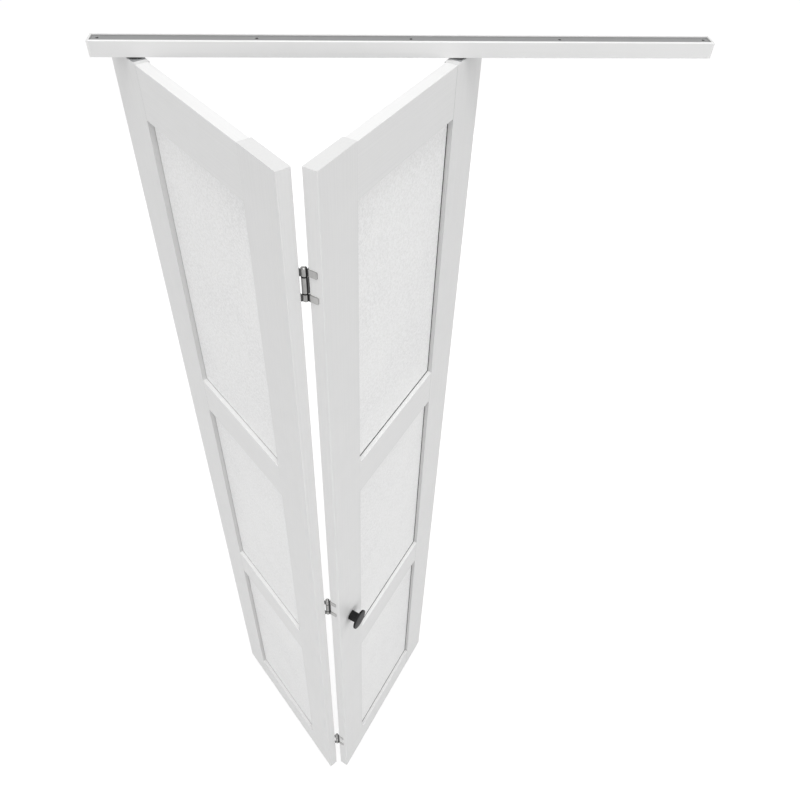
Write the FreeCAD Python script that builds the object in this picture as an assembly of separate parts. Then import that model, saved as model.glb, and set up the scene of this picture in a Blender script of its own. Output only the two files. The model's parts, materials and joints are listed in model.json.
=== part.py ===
import FreeCAD, Part
import math
import os

from FreeCAD import Placement, Rotation, Vector

# Bifold closet door: two framed glass panels that fold on a line of hinges and hang from a head track.
# Millimetres. Origin: middle screw hole of the track, at the upper face of its web. +X runs along the
# track to the guide side, +Y into the closet, +Z up. The pivot panel turns on a pin in the track's
# bracket, the guide panel is led by a wheel in the track. Both stand half folded, with the hinge line
# out in the room.

# Panels
panel_w = 451.0            # outer edge to hinge edge
panel_h = 2007.0
panel_t = 22.0             # stile thickness
stile_w = 87.5
rail_shy = 2.5             # the rails stop this far short of the stiles' back faces
rail_top_h = 84.0
rail_mid_h = 87.0
rail_low_h = 95.0
lites = 3                  # panes in each panel
arris_r = 1.2
tenon_l = 18.0
tenon_t = 8.0
tenon_shoulder = 15.0      # from a rail's edge to its tenon's edge
glue_room = 1.0            # depth left behind a tenon
fold_deg = 55.4            # angle of each panel to the track as modelled

# Glazing
lip_t = 8.2                # front lip that the pane rests against
lip_step = 0.8             # the lip's back half stands this much further into the opening
rebate_w = 8.0
seal_t = 0.8
seal_show = 0.5            # the seal stands this far past the lip
pane_t = 4.0
pane_play = 0.8            # between the pane's edge and the rebate
retainer_play = 0.2
retainer_bevel = 4.0

# Knuckle line
knuckle_gap = 2.6          # between the hinge edges when the door is closed
knuckle_back = 6.4         # hinge axis behind the back faces
hinge_top_in = 176.2       # top hinge's middle below the panels' tops
hinge_mid_up = 954.2       # middle hinge's middle above the panels' bottoms
hinge_low_up = 183.0
leaf_h = 54.4
leaf_t = 1.6
leaf_w = 27.0              # plate on the back face
leaf_corner_r = 3.0
knuckle_r = 4.5
knuckle_play = 0.3
mid_knuckle_h = 26.0
washer_t = 2.6             # between the middle knuckle and each end knuckle
root_short = 0.5           # the end knuckles' roots stop this far short of the axis
finger_l = 14.5            # finger's reach onto the hinge edge
finger_corner_r = 2.0
bend_r = 1.2               # outside of the bends in a leaf
hinge_pin_r = 2.3
pin_fit = 0.07             # radial clearance of a pin that turns in its hole
pin_head_r = 3.9
pin_head_t = 1.6
pin_foot_t = 0.5           # peened foot below the lowest knuckle
leaf_screw_z = 20.0        # above and below a hinge's middle
wood_screw_r = 1.75
wood_screw_head_r = 3.6
wood_screw_l = 14.0

# Head track
track_l = 917.0
track_d = 28.5
track_h = 23.3
track_wall = 2.0
web_t = 2.0
web_drop = 1.5             # the web lies this far below the beads
bead_w = 3.5               # thickened top of each flange, which bears on the header
bead_h = 4.5
bead_r = 0.8
track_lip_w = 2.6          # inward lips at the bottom
track_lip_t = 2.0
screw_hole_r = 2.25
screw_holes = 5
screw_hole_in = 12.5       # first hole's middle from the track's end
cap_t = 3.0
cap_plug_l = 6.0
cap_play = 0.3
top_gap = 3.0              # between the panels and the track

# Pivot bracket
bracket_l = 44.0
bracket_h = 11.0
bracket_play = 0.3
bracket_corner_r = 2.0
set_screw_r = 2.5
set_screw_off = 14.0       # from the pivot axis
set_screw_recess = 1.0     # its foot above the track's lower face
hex_key_af = 2.5
hex_key_depth = 3.0

# Pivot and guide pins
pivot_in = 56.0            # pin axes from the panels' outer edges
pin_r = 4.0
pin_reach = 12.0           # of the top pivot pin above the track's bottom
pin_tip_r = 1.5
shoulder_r = 5.2
shoulder_t = 3.0
tail_r = 2.6
tail_l = 11.0
sleeve_r = 6.5
sleeve_l = 46.0
sleeve_floor = 2.0
sleeve_throat = 5.0
plate_t = 1.5              # plate on the panel's top that carries the sleeve
plate_w = 20.0
plate_corner_r = 1.5
pivot_plate_l = 44.0
guide_plate_l = 38.0
plate_screw_in = 5.0       # from the plate's ends
spring_wire_r = 0.55
spring_wire_sides = 8
spring_r = 4.2
spring_turns = 6.0
wheel_play = 0.45          # between the wheel and the track's lips, at each side
wheel_h = 8.0
wheel_lift = 0.8           # above the track's lower face, so that the lips lead the wheel
wheel_end_play = 0.15      # along the axle, at each face
wheel_groove_r = 1.2
axle_r = 3.0
axle_head_r = 4.8
axle_head_t = 1.6

# Bottom pivot
foot_sleeve_l = 38.0
foot_flange_r = 9.0
foot_flange_t = 1.2
foot_pin_up = 30.0         # length inside the sleeve
foot_reach = 18.0          # below the panel
foot_journal_r = 3.5       # plain end that turns in the floor socket
foot_thread_show = 2.0     # thread left below the nut
foot_tip_r = 1.2
foot_nut_af = 13.0
foot_nut_t = 4.0

# Knob
knob_up = 872.0            # above the panel's bottom
knob_stem_r = 11.0
knob_neck_r = 10.8
knob_waist = 0.1           # the stem is hollowed by this much at half its length
knob_stem_l = 20.0
knob_disc_r = 22.3
knob_disc_t = 5.0
knob_crown = 1.4
knob_rim_r = 1.6
knob_screw_r = 2.0
knob_screw_head_r = 4.5
knob_screw_head_t = 2.2
knob_screw_bite = 12.0     # length inside the knob

# Worked out from the sizes above
rail_t = panel_t - rail_shy
lite_h = (panel_h - rail_top_h - rail_low_h - (lites - 1) * rail_mid_h) / lites
opening_r = panel_w - stile_w
pane_front = lip_t + seal_t
pane_back = pane_front + pane_t
track_top = web_drop
track_base = track_top - track_h
bead_low = track_top - bead_h
lip_top = track_base + track_lip_t
bracket_top = lip_top + bracket_h
panel_top = track_base - top_gap
panel_base = panel_top - panel_h
channel_w = track_d - 2 * track_wall
slot_w = channel_w - 2 * track_lip_w
wheel_r = slot_w / 2 - wheel_play
shoulder_z = plate_t - sleeve_throat
pivot_x = -track_l / 2 + pivot_in
axis_u = panel_w + knuckle_gap / 2
axis_d = panel_t + knuckle_back
arm_u = axis_u - pivot_in
arm_d = axis_d - panel_t / 2
fold = math.radians(fold_deg)
knuckle_x = pivot_x + arm_u * math.cos(fold) + arm_d * math.sin(fold)
knuckle_y = arm_d * math.cos(fold) - arm_u * math.sin(fold)
guide_x = 2 * knuckle_x - pivot_x
hinge_heights = {
    "top": panel_h - hinge_top_in,
    "mid": hinge_mid_up,
    "low": hinge_low_up,
}
plate_edge = axis_u - knuckle_r - knuckle_play
leaf_screw_u = plate_edge - leaf_w / 2
countersink = wood_screw_head_r - wood_screw_r

os.makedirs("parts", exist_ok=True)


def save(node, shape):
    shape.exportStep(os.path.join("parts", node + ".step"))
    print(f"{node:34s} {len(shape.Solids)} solid {shape.Volume / 1000:10.2f} cm3 {shape.isValid()}")


def box(u, d, z):
    """A box from its low and high limits along each axis."""
    low = Vector(u[0], d[0], z[0])
    return Part.makeBox(u[1] - u[0], d[1] - d[0], z[1] - z[0], low)


def rod(r, z0, z1, u=0.0, d=0.0):
    return Part.makeCylinder(r, z1 - z0, Vector(u, d, z0))


def rod_back(r, d0, d1, u, z):
    """A cylinder along the depth, from the front towards the back."""
    return Part.makeCylinder(r, d1 - d0, Vector(u, d0, z), Vector(0, 1, 0))


def traced(points, at):
    """Edges through points. A point is (a, b), or for an arc (middle a, middle b, end a, end b)."""
    edges = []
    here = at(*points[0])
    for point in points[1:]:
        there = at(*point[-2:])
        if len(point) == 4:
            edges.append(Part.Arc(here, at(*point[:2]), there).toShape())
        else:
            edges.append(Part.makeLine(here, there))
        here = there
    return edges


def turned(points):
    """A solid of revolution about Z from a closed profile of (radius, height) points and arcs."""
    edges = traced(points + points[:1], lambda r, z: Vector(r, 0, z))
    return Part.Face(Part.Wire(edges)).revolve(Vector(0, 0, 0), Vector(0, 0, 1), 360)


def dome_middle(r, crown):
    """Radius and height of the point halfway along a dome's arc, from its rim to its crown."""
    ball = (r * r + crown * crown) / (2 * crown)
    angle = math.asin(r / ball) / 2
    return (ball * math.sin(angle), crown - ball * (1 - math.cos(angle)))


def dome(r, z, crown):
    """Arc from a rim at radius r and height z to the axis, crown higher (or lower, if negative)."""
    middle_r, middle_z = dome_middle(r, abs(crown))
    sign = math.copysign(1.0, crown)
    return (middle_r, z + sign * middle_z, 0.0, z + crown)


def edges_along(shape, axis, test):
    """Straight edges along an axis (0, 1 or 2) that start at a point which passes the test."""
    found = []
    for edge in shape.Edges:
        start = edge.Vertexes[0].Point
        run = edge.Vertexes[-1].Point - start
        if run.Length > 1e-6 and abs(run[axis]) > run.Length - 1e-6 and test(start):
            found.append(edge)
    return found


def upright_rounded(shape, r):
    return shape.makeFillet(r, edges_along(shape, 2, lambda p: True))


def place(shape, guide=False):
    """Puts a shape from panel coordinates (u from the outer edge, d from the front, z up from the
    panel's bottom) in its folded place. The guide panel is the pivot panel's mirror image."""
    moved = shape.copy()
    moved.translate(Vector(-pivot_in, -panel_t / 2, panel_base))
    if guide:
        moved = moved.mirror(Vector(0, 0, 0), Vector(1, 0, 0))
    turn = fold_deg if guide else -fold_deg
    moved.rotate(Vector(0, 0, 0), Vector(0, 0, 1), turn)
    moved.translate(Vector(guide_x if guide else pivot_x, 0, 0))
    return moved


# ---------------------------------------------------------------- panels


def rail_spans():
    """Bottom and top of each rail, from the bottom rail up."""
    spans = [(0.0, rail_low_h)]
    for _ in range(lites - 1):
        low = spans[-1][1] + lite_h
        spans.append((low, low + rail_mid_h))
    spans.append((panel_h - rail_top_h, panel_h))
    return spans


def lite_spans():
    """Bottom and top of each opening, from the lowest up."""
    rails = rail_spans()
    return [(below[1], above[0]) for below, above in zip(rails, rails[1:])]


def grown(span, by):
    return (span[0] - by, span[1] + by)


def lite_cutter(span):
    """What is cut out of the frame for one pane: the stepped lip and the rebate behind it."""
    u = (stile_w, opening_r)
    front = box(u, (-1.0, lip_t / 2), span)
    back = box(grown(u, -lip_step), (-1.0, lip_t + 1.0), grown(span, -lip_step))
    rebate = box(grown(u, rebate_w), (lip_t, panel_t + 1.0), grown(span, rebate_w))
    return front.fuse([back, rebate])


def tenon(rail, side, extra=0.0):
    """A rail's tenon at its low (0) or high (1) end. Extra lengthens it, for the mortise."""
    ends = [(stile_w - tenon_l - extra, stile_w), (opening_r, opening_r + tenon_l + extra)]
    front = (rail_t - tenon_t) / 2
    return box(ends[side], (front, front + tenon_t), grown(rail, -tenon_shoulder))


def rail(span, holes):
    """A rail with its tenons. The holes are those that a narrower stile would let into them."""
    body = box((stile_w, opening_r), (0.0, rail_t), span)
    body = body.fuse([tenon(span, 0), tenon(span, 1)])
    return body.cut([lite_cutter(s) for s in lite_spans()] + holes)


def stile(side, holes):
    """Side 0 is the outer stile, 1 the hinge stile."""
    u = (0.0, stile_w) if side == 0 else (opening_r, panel_w)
    edge = u[side]
    blank = box(u, (0.0, panel_t), (0.0, panel_h))
    blank = blank.makeFillet(arris_r, edges_along(blank, 2, lambda p: abs(p.x - edge) < 1e-6))
    mortises = [tenon(span, side, glue_room) for span in rail_spans()]
    return blank.cut([lite_cutter(s) for s in lite_spans()] + mortises + holes)


def pane(span):
    u = (stile_w, opening_r)
    by = rebate_w - pane_play
    return box(grown(u, by), (pane_front, pane_back), grown(span, by))


def seal(span):
    u = (stile_w, opening_r)
    by = rebate_w - pane_play
    show = lip_step + seal_show
    ring = box(grown(u, by), (lip_t, pane_front), grown(span, by))
    return ring.cut(box(grown(u, -show), (0.0, panel_t), grown(span, -show)))


def rectangle(u, d, z):
    corners = [(u[0], z[0]), (u[1], z[0]), (u[1], z[1]), (u[0], z[1]), (u[0], z[0])]
    return Part.makePolygon([Vector(x, d, y) for x, y in corners])


def retainer(span):
    """Moulded frame that holds the pane from behind, bevelled towards the glass."""
    u = (stile_w, opening_r)
    by = rebate_w - retainer_play
    ring = box(grown(u, by), (pane_back, rail_t), grown(span, by))
    window = box(u, (0.0, panel_t), span)
    low = rectangle(u, rail_t - retainer_bevel, span)
    high = rectangle(grown(u, retainer_bevel), rail_t, grown(span, retainer_bevel))
    bevel = Part.makeLoft([low, high], True, True)
    return ring.cut([window, bevel])


# ---------------------------------------------------------------- hinges


def knuckle(z0, z1):
    return rod(knuckle_r, z0, z1, axis_u, axis_d)


def leaf_plate():
    """The plate on a panel's back face, with its screw holes."""
    low = plate_edge - leaf_w
    plate = box((low, plate_edge), (panel_t, panel_t + leaf_t), (-leaf_h / 2, leaf_h / 2))
    outer = edges_along(plate, 1, lambda p: abs(p.x - low) < 1e-6)
    return plate.makeFillet(leaf_corner_r, outer).cut(leaf_screws())


def wood_screw(head, out):
    """Countersunk screw. Head is the middle of its flat top and out the way that faces."""
    shank = Part.makeCylinder(wood_screw_r, wood_screw_l, head, -out)
    cone = Part.makeCone(wood_screw_head_r, wood_screw_r, countersink, head, -out)
    return shank.fuse(cone)


def leaf_screws():
    """Two screws through a hinge plate into the stile, flush with the plate."""
    heads = [Vector(leaf_screw_u, panel_t + leaf_t, z) for z in (-leaf_screw_z, leaf_screw_z)]
    return [wood_screw(head, Vector(0, 1, 0)) for head in heads]


def pin_bore():
    return rod(hinge_pin_r + pin_fit, -leaf_h, leaf_h, axis_u, axis_d)


def end_spans():
    """Bottom and top of the end knuckles and of the fingers beside them."""
    low = mid_knuckle_h / 2 + washer_t
    return [(-leaf_h / 2, -low), (low, leaf_h / 2)]


def bent(strip, u, d):
    """Rounds the outside of a strip's bend, which is at (u, d)."""
    return strip.makeFillet(bend_r, edges_along(strip, 2, lambda p: abs(p.x - u) + abs(p.y - d) < 1e-6))


def knuckle_arm(z, short):
    """A knuckle with the bent strip that joins it to its plate, short of the hinge axis."""
    end = axis_u - short
    tongue = box((plate_edge - leaf_t, end), (panel_t, panel_t + leaf_t), z)
    root = box((end - leaf_t, end), (panel_t, axis_d), z)
    return [bent(tongue.fuse(root).removeSplitter(), end, panel_t), knuckle(*z)]


def finger(z):
    """Strip that leaves the plate, turns over the stile's back arris and lies on the hinge edge."""
    outer_u = panel_w + leaf_t
    outer_d = panel_t + leaf_t
    front = panel_t - finger_l
    strip = box((plate_edge - leaf_t, outer_u), (panel_t, outer_d), z)
    strip = strip.fuse(box((panel_w, outer_u), (front, outer_d), z)).removeSplitter()
    corners = edges_along(strip, 0, lambda p: abs(p.y - front) < 1e-6)
    return bent(strip.makeFillet(finger_corner_r, corners), outer_u, outer_d)


def pivot_leaf():
    """Leaf on the pivot panel's back face, with the two end knuckles."""
    low, high = [knuckle_arm(z, root_short) for z in end_spans()]
    return leaf_plate().fuse(low + high).cut(pin_bore()).removeSplitter()


def guide_leaf():
    """Leaf on the guide panel: the middle knuckle, and two fingers on the hinge edge."""
    middle = knuckle_arm((-mid_knuckle_h / 2, mid_knuckle_h / 2), 0.0)
    fingers = [finger(z) for z in end_spans()]
    return leaf_plate().fuse(middle + fingers).cut(pin_bore()).removeSplitter()


def leaf_washers():
    """The washers above and below a hinge's middle knuckle."""
    half = mid_knuckle_h / 2
    rings = [knuckle(-half - washer_t, -half), knuckle(half, half + washer_t)]
    return [ring.cut(pin_bore()) for ring in rings]


def hinge_pin():
    """Pin with a domed head on the upper knuckle and a peened foot below the lower one."""
    end = leaf_h / 2
    pin = turned([
        (0.0, -end - pin_foot_t),
        (hinge_pin_r - pin_foot_t, -end - pin_foot_t),
        (hinge_pin_r, -end),
        (hinge_pin_r, end),
        (pin_head_r, end),
        dome(pin_head_r, end, pin_head_t),
    ])
    pin.translate(Vector(axis_u, axis_d, 0))
    return pin


# ---------------------------------------------------------------- track


def shoulder_arc():
    """The rounded outer corner of a bead, from its top to its side."""
    half = track_d / 2
    bite = bead_r * (1 - math.sqrt(0.5))
    return [(half - bead_r, track_top), (half - bite, track_top - bite, half, track_top - bead_r)]


def section(points, x):
    """Face across the track at x, from the (y, z) points of its rear half."""
    half = traced(points, lambda y, z: Vector(x, y, z))
    mirrored = [edge.mirror(Vector(0, 0, 0), Vector(0, 1, 0)) for edge in half]
    return Part.Face(Part.Wire(Part.__sortEdges__(half + mirrored)))


def screw_places():
    pitch = (track_l - 2 * screw_hole_in) / (screw_holes - 1)
    return [-track_l / 2 + screw_hole_in + pitch * i for i in range(screw_holes)]


def track_channel():
    """Extruded channel: recessed web, two flanges with thick top beads, inward lips at the bottom."""
    bead_y = track_d / 2 - bead_w
    profile = [(0.0, 0.0), (bead_y, 0.0), (bead_y, track_top)] + shoulder_arc() + [
        (track_d / 2, track_base),
        (slot_w / 2, track_base),
        (slot_w / 2, lip_top),
        (channel_w / 2, lip_top),
        (channel_w / 2, bead_low),
        (bead_y, bead_low),
        (bead_y, -web_t),
        (0.0, -web_t),
    ]
    length = track_l - 2 * cap_t
    body = section(profile, -length / 2).extrude(Vector(length, 0, 0))
    return body.cut([rod(screw_hole_r, -web_t - 1.0, 1.0, x) for x in screw_places()]).removeSplitter()


def end_cap(side):
    """Cap that closes one end of the track, with a plug that fits in the channel."""
    outline = [(0.0, track_top)] + shoulder_arc() + [(track_d / 2, track_base), (0.0, track_base)]
    face = side * (track_l / 2 - cap_t)
    plate = section(outline, face).extrude(Vector(side * cap_t, 0, 0))
    half = channel_w / 2 - cap_play
    inside = sorted((face, face - side * cap_plug_l))
    plug = box(inside, (-half, half), (lip_top + cap_play, bead_low - cap_play))
    return plate.fuse(plug).removeSplitter()


def pivot_bracket():
    """Block that rides on the track's lips, bored for the pivot pin and tapped for its set screw."""
    x = (pivot_x - bracket_l / 2, pivot_x + bracket_l / 2)
    half = channel_w / 2 - bracket_play
    half_rib = slot_w / 2 - bracket_play
    block = box(x, (-half, half), (lip_top, bracket_top))
    rib = box(x, (-half_rib, half_rib), (track_base, lip_top))
    block = upright_rounded(block, bracket_corner_r)
    rib = upright_rounded(rib, bracket_corner_r)
    bore = rod(pin_r + pin_fit, track_base - 1.0, bracket_top + 1.0, pivot_x)
    tapped = rod(set_screw_r, track_base - 1.0, bracket_top + 1.0, pivot_x + set_screw_off)
    return block.fuse(rib).cut([bore, tapped]).removeSplitter()


def hexagon(af, z0, z1, x=0.0):
    r = af / math.sqrt(3)
    turns = [math.pi * i / 3 for i in range(7)]
    corners = [Vector(x + r * math.cos(a), r * math.sin(a), z0) for a in turns]
    return Part.Face(Part.makePolygon(corners)).extrude(Vector(0, 0, z1 - z0))


def set_screw():
    """Grub screw that jams the bracket between the track's web and its lips."""
    x = pivot_x + set_screw_off
    foot = track_base + set_screw_recess
    socket = hexagon(hex_key_af, foot - 1.0, foot + hex_key_depth, x)
    return rod(set_screw_r, foot, -web_t, x).cut(socket)


# ---------------------------------------------------------------- pivots and guide

# Built on their own axis with z = 0 at the panel's top or bottom face, then moved into the panel.


def plate_screws(plate_l):
    off = plate_l / 2 - plate_screw_in
    return [wood_screw(Vector(u, 0, plate_t), Vector(0, 0, 1)) for u in (-off, off)]


def pin_sleeve(plate_l):
    """Plate on the panel's top with a sleeve below it: a narrow throat over a spring well."""
    plate = box((-plate_l / 2, plate_l / 2), (-plate_w / 2, plate_w / 2), (0.0, plate_t))
    plate = upright_rounded(plate, plate_corner_r)
    throat = rod(pin_r + pin_fit, shoulder_z - 1.0, plate_t + 1.0)
    well = rod(shoulder_r + pin_fit, -sleeve_l + sleeve_floor, shoulder_z)
    body = plate.fuse(rod(sleeve_r, -sleeve_l, 0.0))
    return body.cut([throat, well] + plate_screws(plate_l)).removeSplitter()


def pin_below():
    """The part of a spring pin inside its sleeve: shoulder and tail."""
    low = shoulder_z - shoulder_t
    return rod(shoulder_r, low, shoulder_z).fuse(rod(tail_r, low - tail_l, low))


def top_pin():
    reach = top_gap + pin_reach
    upper = rod(pin_r, shoulder_z - 1.0, reach)
    rim = [e for e in upper.Edges if abs(e.BoundBox.ZMin - reach) < 1e-6 and e.BoundBox.ZLength < 1e-6]
    return upper.makeFillet(pin_tip_r, rim).fuse(pin_below()).removeSplitter()


def wheel_span():
    low = top_gap + wheel_lift
    return (low, low + wheel_h)


def guide_pin():
    """Spring pin with a thin axle and a domed head that keeps the wheel on."""
    low, high = wheel_span()
    seat = low - wheel_end_play
    head = high + wheel_end_play
    profile = [
        (0.0, shoulder_z - 1.0),
        (pin_r, shoulder_z - 1.0),
        (pin_r, seat),
        (axle_r, seat),
        (axle_r, head),
        (axle_head_r, head),
        dome(axle_head_r, head, axle_head_t),
    ]
    return turned(profile).fuse(pin_below()).removeSplitter()


def guide_wheel():
    """Roller with a shallow groove round its rim."""
    low, high = wheel_span()
    middle = (low + high) / 2
    bore = axle_r + pin_fit
    edge = (wheel_h - 2 * wheel_groove_r) / 2
    profile = [
        (bore, low),
        (wheel_r, low),
        (wheel_r, low + edge),
        (wheel_r - wheel_groove_r, middle, wheel_r, high - edge),
        (wheel_r, high),
        (bore, high),
    ]
    return turned(profile)


def coil():
    """Compression spring between the sleeve's floor and the pin's shoulder."""
    low = -sleeve_l + sleeve_floor + spring_wire_r
    high = shoulder_z - shoulder_t - spring_wire_r
    path = Part.Wire(Part.makeHelix((high - low) / spring_turns, high - low, spring_r))
    angles = [2 * math.pi * (i + 0.5) / spring_wire_sides for i in range(spring_wire_sides + 1)]
    radius = spring_wire_r / math.cos(math.pi / spring_wire_sides)
    section = [Vector(spring_r + radius * math.cos(a), 0, radius * math.sin(a)) for a in angles]
    wire = path.makePipeShell([Part.makePolygon(section)], True, True)
    wire.translate(Vector(0, 0, low))
    return wire


def foot_sleeve():
    """Threaded insert in the bottom of the pivot panel's outer stile."""
    body = rod(sleeve_r, 0.0, foot_sleeve_l).fuse(rod(foot_flange_r, -foot_flange_t, 0.0))
    return body.cut(rod(pin_r, -foot_flange_t - 1.0, foot_pin_up + 1.0)).removeSplitter()


def foot_pin():
    """Threaded rod with a thinner plain end that turns in the floor socket."""
    thread_low = -foot_flange_t - foot_nut_t - foot_thread_show
    journal = rod(foot_journal_r, -foot_reach, thread_low)
    rim = [e for e in journal.Edges if abs(e.BoundBox.ZMax + foot_reach) < 1e-6]
    return rod(pin_r, thread_low, foot_pin_up).fuse(journal.makeFillet(foot_tip_r, rim))


def foot_nut():
    nut = hexagon(foot_nut_af, -foot_flange_t - foot_nut_t, -foot_flange_t)
    return nut.cut(rod(pin_r, -foot_reach, 0.0))


def in_panel(shape, z):
    """Moves a shape from its own axis to the pin axis of a panel, at height z."""
    moved = shape.copy()
    moved.translate(Vector(pivot_in, panel_t / 2, z))
    return moved


# ---------------------------------------------------------------- knob


def knob():
    """Turned knob: a stem with a slight waist and a thin disc with a domed face."""
    under = knob_stem_l
    face = knob_stem_l + knob_disc_t
    rim = knob_disc_r - knob_rim_r
    round_r = rim + math.sqrt(0.5) * knob_rim_r
    bite = knob_rim_r * (1 - math.sqrt(0.5))
    waist = (knob_stem_r + knob_neck_r) / 2 - knob_waist
    solid = turned([
        (0.0, 0.0),
        (knob_stem_r, 0.0),
        (waist, under / 2, knob_neck_r, under),
        (rim, under),
        (round_r, under + bite, knob_disc_r, under + knob_rim_r),
        (knob_disc_r, face - knob_rim_r),
        (round_r, face - bite, rim, face),
        dome(rim, face, knob_crown),
    ])
    solid = solid.cut(rod(knob_screw_r, -1.0, knob_screw_bite + 1.0))
    solid.rotate(Vector(0, 0, 0), Vector(1, 0, 0), 90)
    solid.translate(Vector(knob_u(), 0, knob_up))
    return solid


def knob_u():
    """The knob stands in the middle of the hinge stile."""
    return panel_w - stile_w / 2


def knob_screw():
    shank = rod_back(knob_screw_r, -knob_screw_bite, panel_t, knob_u(), knob_up)
    head = rod_back(knob_screw_head_r, panel_t, panel_t + knob_screw_head_t, knob_u(), knob_up)
    rim = [e for e in head.Edges if abs(e.BoundBox.YMin - head.BoundBox.YMax) < 1e-6]
    return shank.fuse(head.makeFillet(knob_screw_head_t * 0.6, rim))


# ---------------------------------------------------------------- nodes


def lifted(shape, z):
    moved = shape.copy()
    moved.translate(Vector(0, 0, z))
    return moved


def at_each_hinge(shapes):
    return [lifted(shape, z) for z in hinge_heights.values() for shape in shapes]


def panel(name, guide):
    """Frame, glazing and screws of one panel."""
    plate_l = guide_plate_l if guide else pivot_plate_l
    edge_screws = [in_panel(screw, panel_h) for screw in plate_screws(plate_l)]
    top_hole = in_panel(rod(sleeve_r, -sleeve_l, 1.0), panel_h)
    foot_hole = in_panel(rod(sleeve_r, -1.0, foot_sleeve_l), 0.0)
    knob_hole = rod_back(knob_screw_r, -1.0, panel_t + 1.0, knob_u(), knob_up)
    outer_holes = edge_screws + ([top_hole] if guide else [top_hole, foot_hole])
    hinge_screws = at_each_hinge(leaf_screws())
    hinge_holes = hinge_screws + ([knob_hole] if guide else [])
    save(name + "_stile_outer", place(stile(0, outer_holes), guide))
    save(name + "_stile_hinge", place(stile(1, hinge_holes), guide))
    for index, span in enumerate(rail_spans()):
        save(f"{name}_rail_{index + 1}", place(rail(span, outer_holes), guide))
    for index, span in enumerate(lite_spans()):
        save(f"{name}_seal_{index + 1}", place(seal(span), guide))
        save(f"{name}_pane_{index + 1}", place(pane(span), guide))
        save(f"{name}_retainer_{index + 1}", place(retainer(span), guide))
    screws = [place(screw, guide) for screw in hinge_screws + edge_screws]
    save(name + "_screws", Part.makeCompound(screws))


def hinges():
    for name, z in hinge_heights.items():
        save(f"hinge_{name}_pivot_leaf", place(lifted(pivot_leaf(), z)))
        save(f"hinge_{name}_guide_leaf", place(lifted(guide_leaf(), z), True))
        save(f"hinge_{name}_pin", place(lifted(hinge_pin(), z), True))
    save("hinge_washers", Part.makeCompound([place(w, True) for w in at_each_hinge(leaf_washers())]))


def track():
    save("track_channel", track_channel())
    save("track_cap_pivot_end", end_cap(-1))
    save("track_cap_guide_end", end_cap(1))
    save("pivot_bracket", pivot_bracket())
    save("bracket_set_screw", set_screw())


def pivots():
    save("top_pivot_sleeve", place(in_panel(pin_sleeve(pivot_plate_l), panel_h)))
    save("top_pivot_pin", place(in_panel(top_pin(), panel_h)))
    save("top_pivot_spring", place(in_panel(coil(), panel_h)))
    save("bottom_pivot_sleeve", place(in_panel(foot_sleeve(), 0.0)))
    save("bottom_pivot_pin", place(in_panel(foot_pin(), 0.0)))
    save("bottom_pivot_nut", place(in_panel(foot_nut(), 0.0)))


def guides():
    save("guide_sleeve", place(in_panel(pin_sleeve(guide_plate_l), panel_h), True))
    save("guide_pin", place(in_panel(guide_pin(), panel_h), True))
    save("guide_spring", place(in_panel(coil(), panel_h), True))
    save("guide_wheel", place(in_panel(guide_wheel(), panel_h), True))


track()
panel("pivot_panel", False)
panel("guide_panel", True)
hinges()
pivots()
guides()
save("knob", place(knob(), True))
save("knob_screw", place(knob_screw(), True))
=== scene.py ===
# %% [markdown]
# # A folding closet door, finished in Blender
# The frame already holds every rigid piece of the door at its real size: painted boards, panes,
# hinges, the head track and the pivots that run in it. What is left to do is what a workshop does
# last. The boards get their paint and eased edges, the glass its pebbled face, the metal its
# brushing and plating, the screws their threads and drive recesses, and the springs are wound anew
# with open turns. The metric frame is loaded first, so each later step can measure the real
# pieces instead of guessing.

# %% Load the frame
import json
import math

import bmesh
import bpy
from mathutils import Matrix, Vector


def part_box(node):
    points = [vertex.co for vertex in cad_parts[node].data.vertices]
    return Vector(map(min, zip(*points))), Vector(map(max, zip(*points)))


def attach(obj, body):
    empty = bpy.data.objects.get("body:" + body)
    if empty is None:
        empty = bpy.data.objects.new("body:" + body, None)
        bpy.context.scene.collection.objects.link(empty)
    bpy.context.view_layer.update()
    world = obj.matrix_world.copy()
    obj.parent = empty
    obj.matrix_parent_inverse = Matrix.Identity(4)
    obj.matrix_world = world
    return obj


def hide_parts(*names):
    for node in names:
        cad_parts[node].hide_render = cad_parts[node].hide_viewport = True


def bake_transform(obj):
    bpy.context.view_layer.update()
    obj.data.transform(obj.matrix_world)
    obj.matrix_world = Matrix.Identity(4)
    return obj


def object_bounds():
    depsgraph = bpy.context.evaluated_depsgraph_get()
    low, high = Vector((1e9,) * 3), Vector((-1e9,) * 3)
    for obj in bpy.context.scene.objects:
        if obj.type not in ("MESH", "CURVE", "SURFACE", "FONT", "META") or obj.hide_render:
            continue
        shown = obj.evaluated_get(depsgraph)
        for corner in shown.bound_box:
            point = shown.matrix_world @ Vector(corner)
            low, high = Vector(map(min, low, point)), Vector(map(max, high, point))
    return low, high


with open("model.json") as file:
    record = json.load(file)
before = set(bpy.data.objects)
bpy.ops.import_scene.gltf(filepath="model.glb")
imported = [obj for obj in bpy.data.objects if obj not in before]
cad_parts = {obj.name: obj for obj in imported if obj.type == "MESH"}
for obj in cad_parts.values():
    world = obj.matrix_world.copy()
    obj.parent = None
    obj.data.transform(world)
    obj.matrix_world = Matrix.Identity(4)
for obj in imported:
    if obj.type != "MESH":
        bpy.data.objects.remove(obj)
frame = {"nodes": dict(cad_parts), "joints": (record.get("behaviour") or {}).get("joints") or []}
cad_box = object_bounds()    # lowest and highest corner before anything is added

MM = 0.001
nodes = frame["nodes"]


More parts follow.
